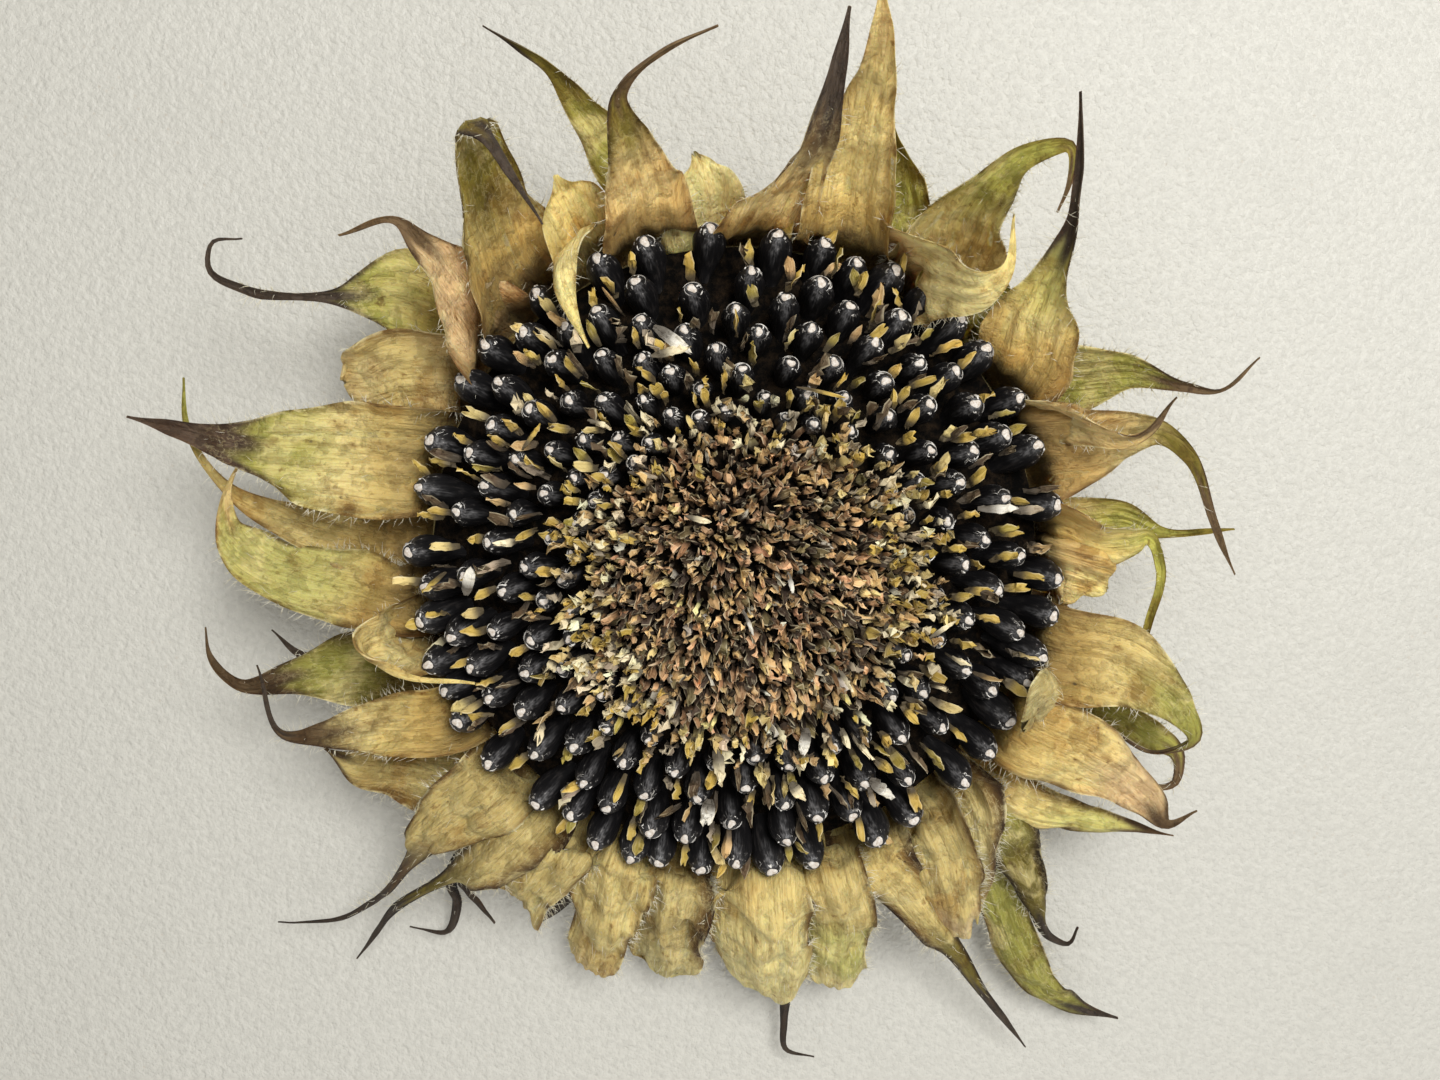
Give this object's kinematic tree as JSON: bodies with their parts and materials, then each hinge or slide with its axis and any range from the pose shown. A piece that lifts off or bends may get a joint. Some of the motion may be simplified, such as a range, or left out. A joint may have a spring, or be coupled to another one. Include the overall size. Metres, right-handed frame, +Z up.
{
  "type": "dried sunflower seed head",
  "caption": "Dried sunflower seed head cut from its stem, lying seeds up: black seeds round a brown floret centre, in a ragged collar of straw bracts.",
  "frame": {"origin": "centre of the flat cut end of the stem stub, which rests on the surface", "axes": "+Z up out of the seed face, -Y towards the drooping bracts at the front, +X to the right"},
  "size_m": [0.1851, 0.1817, 0.0714],
  "materials": {
    "bract": "dry, ribbed and slightly glossy straw",
    "seed": "black hull with fine grey streaks, half gloss",
    "floret": "dry brown, matte"
  },
  "bodies": {
    "root": {"receptacle_and_bracts": "bract", "seeds": "seed", "florets": "floret"}
  },
  "joints": []
}
